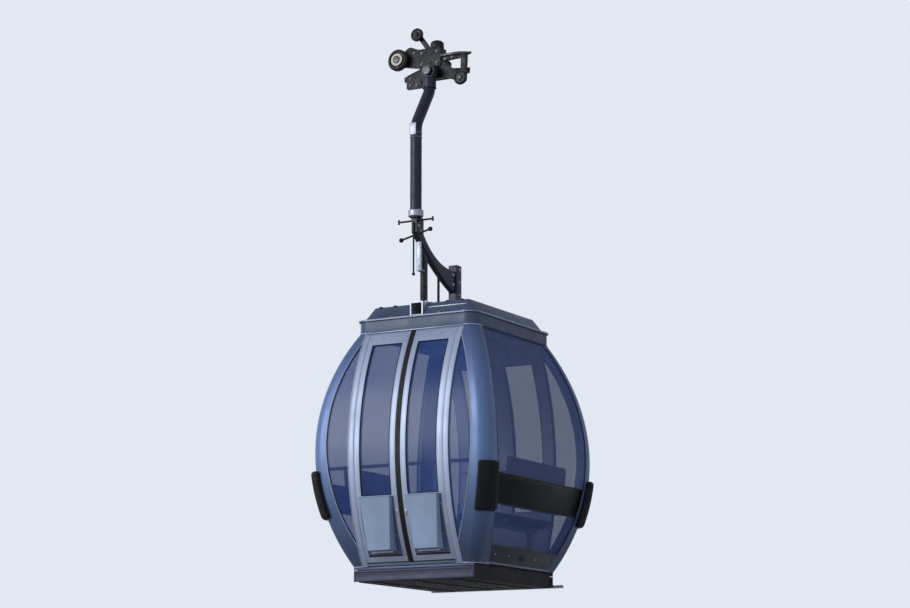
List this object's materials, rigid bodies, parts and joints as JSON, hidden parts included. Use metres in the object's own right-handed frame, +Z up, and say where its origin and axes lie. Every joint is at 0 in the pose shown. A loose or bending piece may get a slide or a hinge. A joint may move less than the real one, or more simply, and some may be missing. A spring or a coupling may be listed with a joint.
{
  "type": "cable car cabin",
  "caption": "Bowed gondola cabin with a pair of sliding doors, ski baskets and benches, on a bent hanger arm with its detachable rope grip.",
  "frame": {"origin": "middle of the grip's jaw, on the rope's axis", "axes": "+X along the rope, the doors face -Y, +Z up"},
  "size_m": [1.8642, 2.1142, 5.162],
  "materials": {
    "grip_black": "semi-gloss black paint on a casting",
    "steel": "machined",
    "roller_black": "black moulded rim",
    "hanger_paint": "dark paint",
    "galvanised": "galvanised, dull",
    "roof_dark": "dark paint",
    "roof_lip": "satin",
    "lining": "matt",
    "frame_silver": "satin silver",
    "rubber": "matt black",
    "glass": "tinted, clear",
    "basket_grey": "satin light grey",
    "lower_grey": "satin",
    "belt_black": "gloss black",
    "pan_grey": "satin",
    "floor_mat": "ribbed mat",
    "seat": "dark moulding"
  },
  "bodies": {
    "grip": {"grip_frame": "grip_black", "hanger_pin": "steel", "jaw_pin": "steel", "roller_axles": "steel", "rope_noses": "grip_black", "spring_tower": "grip_black", "friction_plate": "grip_black"},
    "jaw": {"jaw": "grip_black"},
    "lever_roller": {"lever_roller": "roller_black"},
    "track_wheel": {"track_wheel": "roller_black"},
    "guide_roller": {"guide_roller": "roller_black"},
    "carrier": {"hanger_arm": "hanger_paint", "hanger_head": "hanger_paint", "hanger_collar": "hanger_paint", "hanger_foot": "hanger_paint", "cross_bars": "grip_black", "suspension_prop": "hanger_paint", "suspension_link": "galvanised", "contact_rod": "hanger_paint", "roof_plate": "galvanised", "window_bars": "steel", "suspension_box": "hanger_paint", "cross_beam": "galvanised", "roof_cap": "roof_dark", "roof_deck": "roof_lip", "roof_band": "roof_dark", "ceiling": "lining", "corner_post_door_fore": "frame_silver", "corner_post_door_aft": "frame_silver", "corner_post_back_fore": "frame_silver", "corner_post_back_aft": "frame_silver", "door_fore": "frame_silver", "door_aft": "frame_silver", "door_posts": "frame_silver", "door_sill": "frame_silver", "door_seal": "rubber", "door_panes": "glass", "ski_baskets": "basket_grey", "lens_panes_door": "glass", "lens_panes_back": "glass", "back_panel": "frame_silver", "back_panes": "glass", "end_panels": "lower_grey", "end_panes_lower": "glass", "end_belts": "belt_black", "end_panes_upper": "glass", "corner_pads": "rubber", "floor_pan": "pan_grey", "floor": "floor_mat", "guide_bar": "steel", "seat_cushions": "seat", "seat_backs": "seat", "bench_frames": "galvanised", "grab_rail": "steel"}
  },
  "joints": [
    {"name": "carrier_swing", "type": "hinge", "parent": "grip", "child": "carrier", "pos_m": [0, -0.16, 0], "axis": [0, 1, 0], "range_deg": [-35, 35]},
    {"name": "jaw_open", "type": "hinge", "parent": "grip", "child": "jaw", "pos_m": [0, 0.06, 0.11], "axis": [1, 0, 0], "range_deg": [0, 12], "stiffness_Nm_per_rad": 600, "springref_deg": -5.73},
    {"name": "lever_roller_spin", "type": "hinge", "parent": "jaw", "child": "lever_roller", "pos_m": [-0.236, 0.018, 0.43], "axis": [0, 1, 0], "continuous": true},
    {"name": "track_wheel_spin", "type": "hinge", "parent": "grip", "child": "track_wheel", "pos_m": [-0.348, -0.135, 0.16], "axis": [0, 1, 0], "continuous": true},
    {"name": "guide_roller_spin", "type": "hinge", "parent": "grip", "child": "guide_roller", "pos_m": [0.306, -0.123, -0.092], "axis": [0, 1, 0], "continuous": true}
  ]
}
